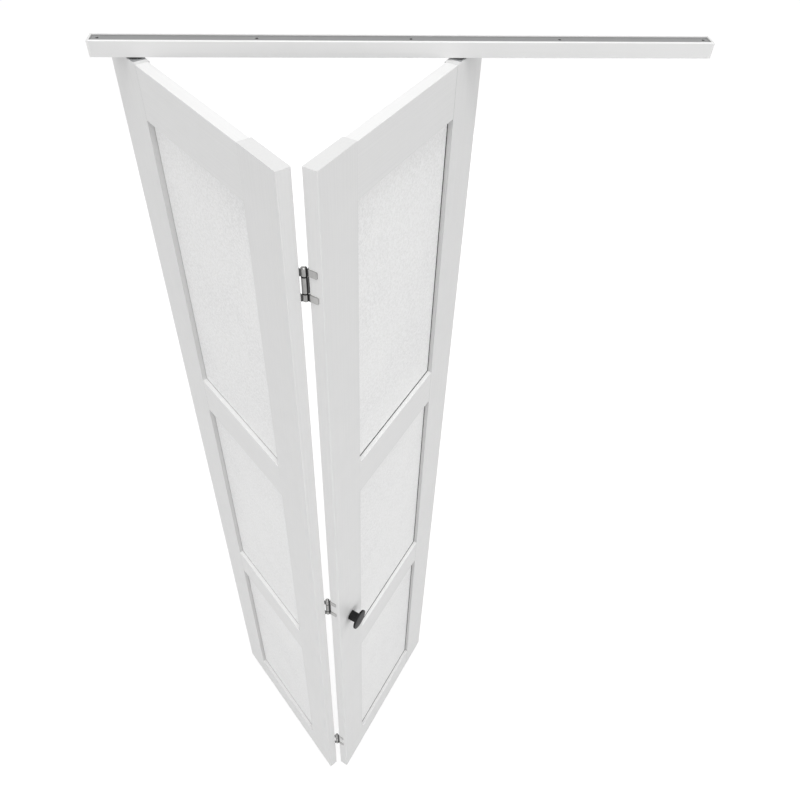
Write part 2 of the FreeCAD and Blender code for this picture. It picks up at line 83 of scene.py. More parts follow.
# %% [markdown]
# ## Where a place on a panel is
# Both panels stand at an angle, so sizes that are simple on a panel, such as 20 mm above a hinge's
# middle, are awkward in the room. A joiner measures from the panel's outer edge, its front and its
# bottom. The two upright joint axes give everything that is needed to turn such a place into room
# coordinates: one axis is at the pivot, the other at the hinge line, and the guide panel is the
# mirror image of the pivot panel about the hinge line.

# %% Panel coordinates
JOINTS = {joint["name"]: Vector(joint.get("pos_m") or (0, 0, 0)) for joint in frame["joints"]}
PIVOT_IN = 56.0 * MM         # pin axes from the panels' outer edges
PANEL_W = 451.0 * MM
PANEL_T = 22.0 * MM
KNUCKLE_U = 452.3 * MM       # hinge axis from the outer edges
KNUCKLE_D = 28.4 * MM        # hinge axis behind the fronts
PANEL_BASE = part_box("pivot_panel_stile_outer")[0].z

arm = JOINTS["fold"] - JOINTS["pivot"]
FOLD = math.atan2(KNUCKLE_D - PANEL_T / 2, KNUCKLE_U - PIVOT_IN) - math.atan2(arm.y, arm.x)
MIRROR = (
    Matrix.Translation((JOINTS["fold"].x, 0, 0))
    @ Matrix.Diagonal((-1, 1, 1, 1))
    @ Matrix.Translation((-JOINTS["fold"].x, 0, 0))
)
PIVOT_FRAME = (
    Matrix.Translation((JOINTS["pivot"].x, 0, PANEL_BASE))
    @ Matrix.Rotation(-FOLD, 4, "Z")
    @ Matrix.Translation((-PIVOT_IN, -PANEL_T / 2, 0))
)
PANEL_FRAMES = {"pivot_panel": PIVOT_FRAME, "guide_panel": MIRROR @ PIVOT_FRAME}
print(f"each panel stands {math.degrees(FOLD):.1f} degrees off the track")


# %% [markdown]
# ## Building materials from nodes
# Every finish below is made the same way: one Principled shader, whose colour, roughness and bump
# are each steered by a little noise. Pictures of paint or metal would have to be wrapped round
# every piece and would show seams, while nodes work inside any solid as it is. The first helper
# makes the empty material, the second hands it to pieces of the frame, which come in plain colours.

# %% Start a finish and hand it over
def new_finish(name, metallic=0.0):
    """An empty material with one Principled shader."""
    material = bpy.data.materials.new(name)
    material.use_nodes = True
    tree = material.node_tree
    tree.nodes.clear()
    shader = tree.nodes.new("ShaderNodeBsdfPrincipled")
    shader.inputs["Metallic"].default_value = metallic
    output = tree.nodes.new("ShaderNodeOutputMaterial")
    tree.links.new(shader.outputs[0], output.inputs["Surface"])
    return material, tree, shader


def finish_nodes(material, *names):
    """Gives CAD nodes a finish in place of the plain colour they came with."""
    for name in names:
        mesh = nodes[name].data
        mesh.materials.clear()
        mesh.materials.append(material)
    print(f"{material.name}: {len(names)} nodes")


def nodes_named(start):
    return [name for name in nodes if name.startswith(start)]


# %% [markdown]
# ### Places and noise
# Object coordinates are used throughout. They are in metres and stay with the piece when it moves,
# so grain never slides over a panel that folds. A noise scale counts cells per metre: 1000 means
# features of about a millimetre. Stretched coordinates draw those features out into grain, brush
# marks or streaks.

# %% Places and noise
def stretched(tree, place, stretch):
    """A place, scaled along each axis."""
    mapping = tree.nodes.new("ShaderNodeMapping")
    mapping.inputs["Scale"].default_value = stretch
    tree.links.new(place, mapping.inputs["Vector"])
    return mapping.outputs[0]


def place_of(tree, stretch=(1.0, 1.0, 1.0)):
    """Object coordinates, scaled along each axis."""
    coordinates = tree.nodes.new("ShaderNodeTexCoord")
    return stretched(tree, coordinates.outputs["Object"], stretch)


def along_axes(tree, place):
    """The X, Y and Z outputs of a place."""
    split = tree.nodes.new("ShaderNodeSeparateXYZ")
    tree.links.new(place, split.inputs[0])
    return split.outputs


def noise(tree, place, scale, detail=3.0, roughness=0.55):
    texture = tree.nodes.new("ShaderNodeTexNoise")
    texture.inputs["Scale"].default_value = scale
    texture.inputs["Detail"].default_value = detail
    texture.inputs["Roughness"].default_value = roughness
    tree.links.new(place, texture.inputs["Vector"])
    return texture.outputs["Fac"]


# %% [markdown]
# ### Numbers and masks
# Finishes differ from place to place: dust lies in a joint, a scratch is rough, bare metal starts
# at an edge. A mask is a number that is 1 where something holds and 0 elsewhere, and plain
# arithmetic on a point's place is enough to make one.

# %% Numbers and masks
NOISE_LOW = 0.3              # nearly all of a noise's values lie between these two
NOISE_HIGH = 0.7


def math_node(tree, operation, first, second=0.0):
    made = tree.nodes.new("ShaderNodeMath")
    made.operation = operation
    for socket, value in zip(made.inputs, (first, second)):
        if isinstance(value, (int, float)):
            socket.default_value = value
        else:
            tree.links.new(value, socket)
    return made.outputs[0]


def within(tree, value, low, high):
    """A mask that is 1 where the value lies between low and high."""
    over = math_node(tree, "GREATER_THAN", value, low)
    under = math_node(tree, "LESS_THAN", value, high)
    return math_node(tree, "MULTIPLY", over, under)


def spread(tree, value, low, high, from_low=NOISE_LOW, from_high=NOISE_HIGH):
    """Maps a value, noise unless said otherwise, onto the range low to high."""
    ranger = tree.nodes.new("ShaderNodeMapRange")
    ranger.inputs["From Min"].default_value = from_low
    ranger.inputs["From Max"].default_value = from_high
    ranger.inputs["To Min"].default_value = low
    ranger.inputs["To Max"].default_value = high
    tree.links.new(value, ranger.inputs["Value"])
    return ranger.outputs[0]


# %% [markdown]
# ### Colours and bump
# A mask or a noise then chooses between two colours, dims one, or raises the surface. Bump only
# tilts the light, so it suits relief of a few microns that no outline would ever show.

# %% Colours and bump
def blend(tree, factor, first, second):
    """Mixes two colours, or two colour outputs, by a factor output."""
    mix = tree.nodes.new("ShaderNodeMix")
    mix.data_type = "RGBA"
    tree.links.new(factor, mix.inputs["Factor"])
    # A Mix node also holds sockets for numbers and vectors; these two and output 2 are its colours.
    for socket, colour in ((mix.inputs[6], first), (mix.inputs[7], second)):
        if isinstance(colour, tuple):
            socket.default_value = (*colour, 1.0)
        else:
            tree.links.new(colour, socket)
    return mix.outputs[2]


def tinted(tree, colour, factor):
    """A colour output times a number output."""
    scaled = tree.nodes.new("ShaderNodeVectorMath")
    scaled.operation = "SCALE"
    tree.links.new(colour, scaled.inputs[0])
    tree.links.new(factor, scaled.inputs["Scale"])
    return scaled.outputs[0]


def bump(tree, shader, height, depth):
    """Raises the surface by height times depth, in metres."""
    made = tree.nodes.new("ShaderNodeBump")
    made.inputs["Distance"].default_value = depth
    tree.links.new(height, made.inputs["Height"])
    tree.links.new(made.outputs[0], shader.inputs["Normal"])


# %% [markdown]
# ## Paint on the boards
# The stiles and rails are sprayed with a satin white lacquer. Sprayed paint is never perfectly
# flat: it dries with a fine skin like orange peel, about 2 mm across and a few microns deep, its
# sheen wanders a little, and faint lines from sanding run along each board. Along a board is not
# along the room's axes, so the paint needs panel coordinates too. A Mapping node can give them: it
# scales, turns and shifts, which is all that the inverse of a panel's frame does.

# %% Panel coordinates inside a material
def panel_place(tree, panel):
    """Distance from the panel's outer edge, its front and its bottom, as one vector."""
    coordinates = tree.nodes.new("ShaderNodeTexCoord")
    mapping = tree.nodes.new("ShaderNodeMapping")
    side = 1.0 if panel == "pivot_panel" else -1.0
    mapping.inputs["Location"].default_value = PANEL_FRAMES[panel].inverted().translation
    mapping.inputs["Rotation"].default_value = (0.0, 0.0, FOLD)
    mapping.inputs["Scale"].default_value = (side, 1.0, 1.0)
    tree.links.new(coordinates.outputs["Object"], mapping.inputs["Vector"])
    return mapping.outputs[0]


def across_panel(tree, place, low, high):
    """A mask that is 1 between two distances from the panel's outer edge."""
    return within(tree, along_axes(tree, place)["X"], low, high)


# %% [markdown]
# A few masks finish the paint, and each of them paints light or shade into its colour. The reveals
# get painted shade, darker on the guide panel than on the pivot panel; on a stile a reveal is
# simply everything past its inner edge. The tops of the rails get a painted highlight: the ledges
# of the two middle rails, where the panes stand, and the top rail's upper face. The hinge edges get
# a little painted shade, so they are a little darker than the faces.

# %% Masks for the paint
STILE_IN = 87.5 * MM         # inner edge of an outer stile, from the panel's outer edge
SHOWS = 0.3 * MM             # how far past an edge or a face a mask reaches
REVEALS = (STILE_IN - SHOWS, PANEL_W - STILE_IN + SHOWS)
HINGE_EDGE = (PANEL_W - SHOWS, PANEL_W + SHOWS)
RAIL_ENDS = (0.0, STILE_IN + 2 * SHOWS)
NOWHERE = (0.0, 0.0)         # a span that no point lies in
LEDGE_H = 0.8 * MM           # from the front of a ledge up to its step
OPEN_RAILS = (2, 3, 4)       # counted from the foot: the two middle rails and the top one
RAIL_TOPS = [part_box(f"pivot_panel_rail_{rail}")[1].z - PANEL_BASE for rail in OPEN_RAILS]


def on_rail_tops(tree, place):
    """A mask that is 1 on the tops of the open rails."""
    height = along_axes(tree, place)["Z"]
    found = 0.0
    for top in RAIL_TOPS:
        here = within(tree, height, top - LEDGE_H - SHOWS, top + SHOWS)
        found = math_node(tree, "ADD", found, here)
    return found


heights = ", ".join(f"{top / MM:.0f}" for top in RAIL_TOPS)
print(f"rail tops {heights} mm above the panels' feet")


# %% [markdown]
# The coat is built up in layers: first a white that drifts a little in tone, then the painted shade
# of the reveals and hinge edges and the painted highlight on the rail tops, and last the sanding
# lines over all of it. The same place drives every noise, so colour, sheen and orange peel belong
# to one surface.

# %% Paint
# Painted highlight on the tops of the rails, brighter than the faces.
RAIL_TOP_HIGHLIGHT = (0.88, 0.88, 0.878)
ALONG = {"stile": (1.0, 1.0, 0.01), "rail": (0.01, 1.0, 1.0)}    # which way sanding lines run
DRIFT_SCALE = 9.0            # slow changes of tone over a decimetre
SANDING_SCALE = 420.0
PEEL_SCALE = 520.0
SHEEN_SCALE = 40.0
DRIFT_DIM = 0.975            # tone of the darkest drift
SANDING_DIM = 0.965          # tone of the darkest sanding line


def paint(name, panel, part, colour, masked, span, peel, sheen, edge):
    """White lacquer that takes the masked colour in a span across the panel."""
    material, tree, shader = new_finish(name)
    place = panel_place(tree, panel)
    drift = spread(tree, noise(tree, place, DRIFT_SCALE), 0.0, 1.0)
    grain = noise(tree, stretched(tree, place, ALONG[part]), SANDING_SCALE)
    sanding = spread(tree, grain, SANDING_DIM, 1.0)
    darker = tuple(DRIFT_DIM * channel for channel in colour)
    coat = blend(tree, drift, darker, colour)
    # Painted shade in the stiles' reveals, or dust in the joints at the rails' ends.
    coat = blend(tree, across_panel(tree, place, *span), coat, masked)
    # Painted shade on the hinge edge.
    coat = blend(tree, across_panel(tree, place, *HINGE_EDGE), coat, edge)
    # Painted highlight on the tops of the rails.
    if part == "rail":
        coat = blend(tree, on_rail_tops(tree, place), coat, RAIL_TOP_HIGHLIGHT)
    tree.links.new(tinted(tree, coat, sanding), shader.inputs["Base Color"])
    gloss = spread(tree, noise(tree, place, SHEEN_SCALE), *sheen)
    tree.links.new(gloss, shader.inputs["Roughness"])
    bump(tree, shader, noise(tree, place, PEEL_SCALE, detail=2.0), peel)
    return material


# %% [markdown]
# Each board gets two coats of that recipe, the second for its arrises: hands polish the paint there
# to a smoother sheen, and a painted highlight makes it brighter. Where a rail butts against a stile
# the joint's small V-groove holds dust, so there the eased ends of the rails are dark. One recipe
# with a few numbers is better than eight materials by hand: whatever is changed in it stays true
# for all boards.

# %% Paint for every kind of board
PAINT_WHITE = (0.79, 0.79, 0.788)
# Painted shade on the hinge edges of the boards.
HINGE_EDGE_SHADE = (0.755, 0.755, 0.753)
# Painted highlight on the arrises.
ARRIS_HIGHLIGHT = (0.88, 0.88, 0.878)
JOINT_GREY = (0.22, 0.22, 0.22)
# Painted shade in the reveals, darker on the guide panel than on the pivot panel.
REVEAL_SHADE = {"pivot_panel": (0.68, 0.68, 0.678), "guide_panel": (0.635, 0.635, 0.633)}
FACE_COAT = {"peel": 3e-6, "sheen": (0.36, 0.46), "edge": HINGE_EDGE_SHADE}
ARRIS_COAT = {"peel": 1.5e-6, "sheen": (0.26, 0.34), "edge": ARRIS_HIGHLIGHT}


def board_paints(panel, part, reveal_shade, ends):
    """The coat of the faces and the coat of the arrises, for one kind of board."""
    face = f"satin_{part}_{panel}"
    arris = f"arris_{part}_{panel}"
    return (
        paint(face, panel, part, PAINT_WHITE, reveal_shade, REVEALS, **FACE_COAT),
        paint(arris, panel, part, ARRIS_HIGHLIGHT, JOINT_GREY, ends, **ARRIS_COAT),
    )


BOARD_PAINT = {}
for panel in PANEL_FRAMES:
    BOARD_PAINT[panel, "stile"] = board_paints(panel, "stile", REVEAL_SHADE[panel], NOWHERE)
    BOARD_PAINT[panel, "rail"] = board_paints(panel, "rail", PAINT_WHITE, RAIL_ENDS)
print(f"{2 * len(BOARD_PAINT)} paints")


# %% [markdown]
# ## Eased edges
# A painted board never has a knife edge. The sander takes the corner off, the paint pulls back
# from it and is polished by hands, and where a rail meets a stile the two small roundings make the
# fine joint line that tells a framed door from a moulded one. A Bevel modifier gives all of that
# without touching the frame's own meshes. Coplanar triangles are merged first so the bevel runs
# along whole edges, and the strip that it makes gets the arris paint, which is smoother and
# carries a painted highlight.

# %% Ease an edge
EASE = 0.5 * MM
SAME_POINT = 1e-6            # corners closer than this are one corner
SAME_PLANE = math.radians(0.5)
REAL_CORNER = math.radians(40)


def ease_edges(name):
    """Rounds a board's corners and gives the roundings its last material."""
    piece = nodes[name]
    weld = piece.modifiers.new("join corners", "WELD")
    weld.merge_threshold = SAME_POINT
    merge = piece.modifiers.new("merge flats", "DECIMATE")
    merge.decimate_type = "DISSOLVE"
    merge.angle_limit = SAME_PLANE
    ease = piece.modifiers.new("ease", "BEVEL")
    ease.width = EASE
    ease.segments = 2
    ease.limit_method = "ANGLE"
    ease.angle_limit = REAL_CORNER
    ease.harden_normals = False
    # The roundings get the arris paint, with its painted highlight.
    ease.material = len(piece.data.materials) - 1
    shade = piece.modifiers.new("shade flats", "WEIGHTED_NORMAL")
    shade.keep_sharp = False
    shade.weight = 90        # the large flats decide, the roundings follow


# %% [markdown]
# The retainers that hold the panes from behind are small mouldings with a bevel of their own, so
# they take the plain coat of the rails and need no easing.

# %% Paint and ease the boards
eased = 0
for (panel, part), (face, arris) in BOARD_PAINT.items():
    boards = nodes_named(f"{panel}_{part}_")
    finish_nodes(face, *boards)
    for board in boards:
        nodes[board].data.materials.append(arris)
        ease_edges(board)
    eased += len(boards)
for panel in PANEL_FRAMES:
    finish_nodes(BOARD_PAINT[panel, "rail"][0], *nodes_named(f"{panel}_retainer_"))
print(f"{eased} boards eased by {EASE / MM} mm")


# %% [markdown]
# ## Pebbled glass
# The panes are rolled glass, opaque enough that nothing shows through: one face carries a fine
# pebble that scatters the light. It could be modelled as displaced geometry, but the pebbles are
# about two millimetres wide and a tenth of one deep, so bump on a rough shader that lets a little
# light in looks the same and stays light. Smooth Voronoi cells make the pebbles, two noises break
# them up into specks, and a broad noise makes the soft lighter clouds that such glass has.

# %% Glass
PEBBLE_SCALE = 420.0
PEBBLE_DEPTH = 1.6e-4
FINE_SCALE = 400.0
COARSE_SCALE = 170.0
FINE_SHARE = 0.6             # how much the finer of the two noises counts in the specks
CLOUD_SCALE = 7.0
SPECKS = (0.41, 0.59)        # two noises together range less widely than one
SPECK_LIFT = 0.6             # height of a speck against that of a pebble
GLASS_ROUGHNESS = (0.42, 0.60)
LETS_IN = 0.03               # share of the light that enters the glass
HOLLOWS = ((0.83, 0.83, 0.83), (0.91, 0.91, 0.905))
CRESTS = ((0.98, 0.98, 0.98), (1.0, 1.0, 0.998))


def pebbled_glass():
    material, tree, shader = new_finish("pebbled_glass")
    place = place_of(tree)
    pebble = tree.nodes.new("ShaderNodeTexVoronoi")
    pebble.feature = "SMOOTH_F1"
    pebble.inputs["Scale"].default_value = PEBBLE_SCALE
    pebble.inputs["Smoothness"].default_value = 0.6
    tree.links.new(place, pebble.inputs["Vector"])
    cloud = spread(tree, noise(tree, place, CLOUD_SCALE, detail=4.0), 0.0, 1.0)
    fine = noise(tree, place, FINE_SCALE, detail=2.0, roughness=0.6)
    coarse = noise(tree, place, COARSE_SCALE, detail=2.0)
    fine = math_node(tree, "MULTIPLY", fine, FINE_SHARE)
    coarse = math_node(tree, "MULTIPLY", coarse, 1.0 - FINE_SHARE)
    speck = spread(tree, math_node(tree, "ADD", fine, coarse), 0.0, 1.0, *SPECKS)
    hollow = blend(tree, cloud, *HOLLOWS)
    crest = blend(tree, cloud, *CRESTS)
    tree.links.new(blend(tree, speck, hollow, crest), shader.inputs["Base Color"])
    shader.inputs["Transmission Weight"].default_value = LETS_IN
    shader.inputs["IOR"].default_value = 1.5
    rough = spread(tree, speck, *GLASS_ROUGHNESS, 0.0, 1.0)
    tree.links.new(rough, shader.inputs["Roughness"])
    lifted = math_node(tree, "MULTIPLY", speck, SPECK_LIFT)
    bump(tree, shader, math_node(tree, "ADD", pebble.outputs["Distance"], lifted), PEBBLE_DEPTH)
    return material


finish_nodes(pebbled_glass(), *[name for name in nodes if "_pane_" in name])


# %% [markdown]
# ## Rubber seals
# A thin glazing gasket sits between the lip and the pane, black on the guide panel and grey on the
# pivot panel. It is extruded rubber: dull, faintly uneven, with a little dust that lifts its tone
# in places. A dark line painted on the pane would do from the front, but the seals are pieces of
# their own here, so a plain rubber with a fine bump is all that they need.

# %% Seals
DUST_SCALE = 120.0
RUBBER_GRAIN_SCALE = 1500.0
RUBBER_GRAIN_DEPTH = 1e-5
RUBBER_ROUGHNESS = (0.62, 0.82)      # clean and dusty


def gasket_rubber(name, clean, dusty):
    material, tree, shader = new_finish(name)
    place = place_of(tree)
    dust = spread(tree, noise(tree, place, DUST_SCALE), 0.0, 1.0)
    tree.links.new(blend(tree, dust, clean, dusty), shader.inputs["Base Color"])
    rough = spread(tree, dust, *RUBBER_ROUGHNESS, 0.0, 1.0)
    tree.links.new(rough, shader.inputs["Roughness"])
    bump(tree, shader, noise(tree, place, RUBBER_GRAIN_SCALE), RUBBER_GRAIN_DEPTH)
    return material


BLACK_RUBBER = gasket_rubber("black_gasket_rubber", (0.018, 0.018, 0.019), (0.040, 0.040, 0.041))
GREY_RUBBER = gasket_rubber("grey_gasket_rubber", (0.48, 0.48, 0.478), (0.56, 0.56, 0.558))
finish_nodes(BLACK_RUBBER, *nodes_named("guide_panel_seal_"))
finish_nodes(GREY_RUBBER, *nodes_named("pivot_panel_seal_"))


# %% [markdown]
# ## Metals
# The hinges are satin steel, brushed along their length. Pins, springs, plates and screws are
# bright zinc, whose plating is slightly blotched. Both come from one function: noise stretched
# along the brushing drives the bump and the roughness alike, because a scratch is rougher as well
# as deeper.

# %% Brushed metal
UNBRUSHED = (1.0, 1.0, 1.0)
UPRIGHT_BRUSHING = (1.0, 1.0, 0.03)
BLOTCH_SCALE = 90.0


def brushed_metal(name, pale, dark, stretch, roughness, scratch, fine):
    """Metal with brush marks of a fineness and a depth, blotched between two tones."""
    material, tree, shader = new_finish(name, metallic=1.0)
    lines = noise(tree, place_of(tree, stretch), fine, detail=4.0, roughness=0.65)
    blotch = spread(tree, noise(tree, place_of(tree), BLOTCH_SCALE, detail=4.0), 0.0, 1.0)
    tree.links.new(blend(tree, blotch, dark, pale), shader.inputs["Base Color"])
    tree.links.new(spread(tree, lines, *roughness), shader.inputs["Roughness"])
    bump(tree, shader, lines, scratch)
    return material


SATIN_STEEL = brushed_metal(
    "satin_steel", (0.47, 0.468, 0.462), (0.38, 0.378, 0.373), UPRIGHT_BRUSHING, (0.26, 0.42),
    scratch=2e-6, fine=2200.0,
)
ZINC = brushed_metal(
    "bright_zinc", (0.43, 0.437, 0.445), (0.31, 0.315, 0.322), UNBRUSHED, (0.22, 0.40),
    scratch=1e-6, fine=700.0,
)
print(f"metals: {SATIN_STEEL.name} and {ZINC.name}")


# %% [markdown]
# The knuckles are rolled from the leaf. The barrel is made darker and streaked, and painted shade
# darkens the strips that run into it and the knuckles' side towards the guide panel, where the
# roll closes. Separate pieces for that would break up a leaf that is one strip. The hinge axis is
# known, so how far a point lies from it tells barrel and strips apart, and which side it is on
# gives the shaded side.

# %% Rolled knuckles
BARREL_R = 4.62 * MM         # just outside the knuckles
ROOT_R = 7.6 * MM            # where the strips that turn into the knuckles begin
# Painted shade on the knuckles' side towards the guide panel: none and full at these distances.
SHADED_SPAN = (1.9 * MM, 2.6 * MM)     # clean and black, sideways from the hinge axis
# Painted shade on the strips that run into the knuckles.
ROOT_SHADE = (0.09, 0.09, 0.09)
SIDE_SHADE_BLACK = (0.006, 0.006, 0.006)
STREAKS = (0.55, 0.95)       # tone of the rolled steel against the flat
STREAK_SCALE = 900.0
UPRIGHT_STREAKS = (1.0, 1.0, 0.02)


def knuckle_shade(material):
    """Dims the knuckles, and paints shade on their roots and on the side facing the guide panel."""
    tree = material.node_tree
    shader = next(node for node in tree.nodes if node.type == "BSDF_PRINCIPLED")
    metal = shader.inputs["Base Color"].links[0].from_socket
    rough = shader.inputs["Roughness"].links[0].from_socket
    axes = along_axes(tree, place_of(tree))
    sideways = math_node(tree, "SUBTRACT", axes["X"], JOINTS["fold"].x)
    backwards = math_node(tree, "SUBTRACT", axes["Y"], JOINTS["fold"].y)
    squares = [math_node(tree, "MULTIPLY", way, way) for way in (sideways, backwards)]
    radius = math_node(tree, "SQRT", math_node(tree, "ADD", *squares))
    drawn = noise(tree, place_of(tree, UPRIGHT_STREAKS), STREAK_SCALE, detail=2.0)
    barrel = within(tree, radius, 0.0, BARREL_R)
    root = within(tree, radius, BARREL_R, ROOT_R)
    rolled = blend(tree, barrel, metal, tinted(tree, metal, spread(tree, drawn, *STREAKS)))
    # Painted shade on the roots, then on the knuckles' side towards the guide panel.
    rolled = blend(tree, root, rolled, ROOT_SHADE)
    side_shade = math_node(tree, "MULTIPLY", spread(tree, sideways, 0.0, 1.0, *SHADED_SPAN), barrel)
    tree.links.new(blend(tree, side_shade, rolled, SIDE_SHADE_BLACK), shader.inputs["Base Color"])
    tree.links.new(math_node(tree, "SUBTRACT", 1.0, side_shade), shader.inputs["Metallic"])
    tree.links.new(math_node(tree, "MAXIMUM", rough, side_shade), shader.inputs["Roughness"])


knuckle_shade(SATIN_STEEL)
print(f"knuckles are rolled up to {BARREL_R / MM} mm from the hinge axis")


# %% [markdown]
# The metals can now be handed out. The washers between the knuckles are named with the hinges, but
# they are plastic and wait for the plastics below. Screws, springs and the threaded pin get their
# zinc when they are made.

# %% Hand out the metals
finish_nodes(SATIN_STEEL, *[name for name in nodes_named("hinge_") if name != "hinge_washers"])
finish_nodes(
    ZINC, "top_pivot_sleeve", "top_pivot_pin", "bottom_pivot_sleeve", "bottom_pivot_nut",
    "guide_sleeve", "guide_pin", "pivot_bracket", "bracket_set_screw",
)


# %% [markdown]
# ## Screws with a drive and a thread
# The frame's screws have the right heads, lengths and places, but no cross recess and no thread.
# Each is built once here, standing upright with its head's top at zero, and then stamped where the
# plain screws are. Building it is a turner's job: rings of points from the head down, each joined
# to the one before. A thread is a ring whose radius rises to the crest once per turn, with the
# rise moving round as the rings go down.

# %% Turning helpers
SIDES = 24                   # points round a screw
TURN_RINGS = 6               # rings per turn of a thread
FLANK = 2.4                  # how steeply a thread rises to its crest
BLUNT = 0.12                 # share of the radius that is left at a screw's point


def ring(shape, radius, height):
    around = []
    for side in range(SIDES):
        angle = 2 * math.pi * side / SIDES
        spot = (radius * math.cos(angle), radius * math.sin(angle), height)
        around.append(shape.verts.new(spot))
    return around


def profile_rings(shape, profile):
    """A ring for each radius and height of a profile in millimetres."""
    return [ring(shape, radius * MM, height * MM) for radius, height in profile]


def thread_rings(shape, root, crest, high, low, pitch, point=0.0):
    """Rings of a right-handed thread, which may narrow to a point over its last length."""
    count = max(2, round((high - low) / pitch * TURN_RINGS))
    rings = []
    for step in range(count + 1):
        height = high + (low - high) * step / count
        narrow = min(1.0, (height - low) / point + BLUNT) if point else 1.0
        around = []
        for side in range(SIDES):
            phase = (height / pitch - side / SIDES) % 1.0
            ridge = max(0.0, 1.0 - FLANK * abs(phase - 0.5))
            radius = narrow * (root + (crest - root) * ridge)
            angle = 2 * math.pi * side / SIDES
            spot = (radius * math.cos(angle), radius * math.sin(angle), height)
            around.append(shape.verts.new(spot))
        rings.append(around)
    return rings


print(f"{SIDES} points round a screw, {TURN_RINGS} rings per turn of its thread")


# %% [markdown]
# Rings become a skin when each is joined to the next. At the end the normals are made to point
# outwards, and the mesh is shaded smooth except where two faces meet at a real edge.

# %% Skin and finish a turned shape
def join_rings(shape, rings):
    for upper, lower in zip(rings, rings[1:]):
        for side in range(len(upper)):
            after = (side + 1) % len(upper)
            shape.faces.new((upper[side], upper[after], lower[after], lower[side]))


def finished_mesh(shape, name, sharp=32):
    """A mesh of the shape, smooth but for edges sharper than this many degrees."""
    bmesh.ops.recalc_face_normals(shape, faces=shape.faces)
    mesh = bpy.data.meshes.new(name)
    shape.to_mesh(mesh)
    shape.free()
    mesh.polygons.foreach_set("use_smooth", [True] * len(mesh.polygons))
    mesh.set_sharp_from_angle(angle=math.radians(sharp))
    return mesh


# %% [markdown]
# The cross recess is what a driver bit presses into the head: wide at the top, tapering to a floor
# half as wide. Cutting it out with a boolean would leave a ragged mesh, so the head's top is
# closed from the start with a face that leaves the cross open.

# %% Cross recess
def edges_round(shape, around):
    found = []
    for first, second in zip(around, around[1:] + around[:1]):
        found.append(shape.edges.get((first, second)) or shape.edges.new((first, second)))
    return found


def cross_recess(shape, rim, reach, half, depth, level=0.0):
    """Closes the rim's inside around a cross of this reach and half width, floor included."""
    corners = [
        (reach, -half), (reach, half), (half, half), (half, reach), (-half, reach), (-half, half),
    ]
    corners += [(-x, -y) for x, y in corners]
    mouth = [shape.verts.new((x, y, level)) for x, y in corners]
    floor = [shape.verts.new((0.5 * x, 0.5 * y, level - depth)) for x, y in corners]
    join_rings(shape, [mouth, floor])
    top_edges = edges_round(shape, rim) + edges_round(shape, mouth)
    bmesh.ops.triangle_fill(shape, edges=top_edges, use_beauty=True)
    bmesh.ops.triangle_fill(shape, edges=edges_round(shape, floor), use_beauty=True)


# %% [markdown]
# Three parts need a thread: the wood screws of hinges and plates, the machine screw that holds the
# knob through the stile, and the bottom pivot's pin, which a nut moves to set the door's height.
# Their profiles are lists of radius and height in millimetres, as a turner's drawing gives them.

# %% Three threaded parts
def wood_screw():
    """Countersunk screw, 3.5 by 14 mm, with a cross recess."""
    shape = bmesh.new()
    countersink = [(3.45, 0.0), (3.6, -0.12), (3.55, -0.3)]
    neck = [(1.75, -1.85), (1.3, -2.3)]
    head = profile_rings(shape, countersink + neck)
    thread = thread_rings(
        shape, 1.2 * MM, 1.75 * MM, -2.7 * MM, -14.0 * MM, 1.5 * MM, point=4.0 * MM,
    )
    join_rings(shape, head + thread)
    shape.faces.new(thread[-1])
    cross_recess(shape, head[0], 1.9 * MM, 0.42 * MM, 1.5 * MM)
    return finished_mesh(shape, "wood_screw")


def pan_screw():
    """Machine screw, M4, with a domed head and a cross recess."""
    shape = bmesh.new()
    dome = [(2.6, -0.1), (3.4, -0.35), (4.05, -0.85), (4.4, -1.45), (4.5, -2.2)]
    neck = [(2.0, -2.2), (1.62, -2.7)]
    head = profile_rings(shape, dome + neck)
    thread = thread_rings(shape, 1.62 * MM, 2.0 * MM, -3.0 * MM, -35.7 * MM, 0.7 * MM)
    foot = ring(shape, 1.3 * MM, -36.2 * MM)
    join_rings(shape, head + thread + [foot])
    shape.faces.new(foot)
    cross_recess(shape, head[0], 2.1 * MM, 0.48 * MM, 1.6 * MM, level=-0.1 * MM)
    return finished_mesh(shape, "pan_screw")


def threaded_pivot():
    """Bottom pivot: a thread that takes the nut, above a plain end with a rounded tip."""
    shape = bmesh.new()
    thread = thread_rings(shape, 3.35 * MM, 4.0 * MM, 29.3 * MM, -6.9 * MM, 1.25 * MM)
    top = ring(shape, 2.9 * MM, 30.0 * MM)
    journal = [(3.5, -7.2), (3.5, -16.8)]
    bends = [math.radians(turn) for turn in (30, 60, 90)]
    tip = [(2.3 + 1.2 * math.cos(bend), -16.8 - 1.2 * math.sin(bend)) for bend in bends]
    end = profile_rings(shape, journal + tip)
    join_rings(shape, [top] + thread + end)
    shape.faces.new(top)
    shape.faces.new(end[-1])
    return finished_mesh(shape, "threaded_pivot")


WOOD_SCREW = wood_screw()
PAN_SCREW = pan_screw()
THREADED_PIVOT = threaded_pivot()
for made in (WOOD_SCREW, PAN_SCREW, THREADED_PIVOT):
    print(f"{made.name}: {len(made.polygons)} faces")


# %% [markdown]
# To stamp a screw, its place has to be found. Each plain screw is a separate island in its node's
# mesh. Measured in panel coordinates, an island that is tallest upwards is a screw in the panel's
# top, and one that is deepest from front to back is a screw in its back face.

# %% Find the plain screws
def box_of(corners):
    """Lowest and highest corner of the box round some points."""
    low = Vector([min(corner[axis] for corner in corners) for axis in range(3)])
    high = Vector([max(corner[axis] for corner in corners) for axis in range(3)])
    return low, high


